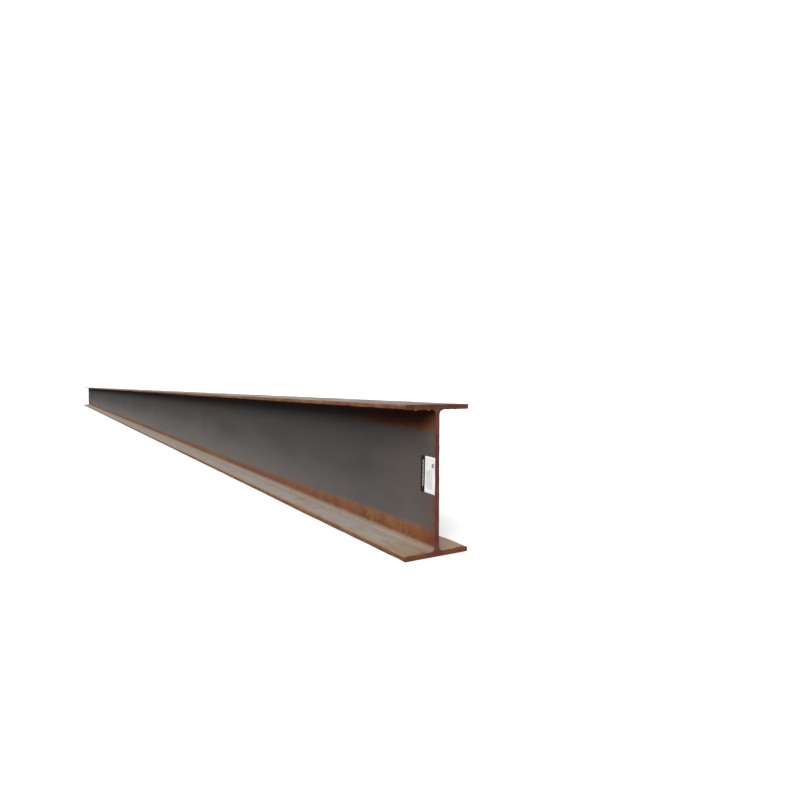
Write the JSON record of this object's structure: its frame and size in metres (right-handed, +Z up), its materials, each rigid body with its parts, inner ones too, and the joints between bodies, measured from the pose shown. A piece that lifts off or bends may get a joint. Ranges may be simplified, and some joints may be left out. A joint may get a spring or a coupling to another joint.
{
  "type": "steel i-beam",
  "caption": "Hot-rolled steel I-beam with parallel flanges, filleted web roots and square-sawn ends, used to span and carry loads in building frames.",
  "frame": {"origin": "middle of the underside of the lower flange, halfway along the beam", "axes": "+X along the beam, +Y across the flanges, +Z up from the lower flange to the upper one"},
  "size_m": [12, 0.175, 0.35],
  "materials": {
    "rolled_steel": "hot-rolled mill scale, rusted along the flanges, web edges and sawn ends",
    "label_paper": "matt white paper"
  },
  "bodies": {
    "root": {"i_beam": "rolled_steel"}
  },
  "joints": []
}
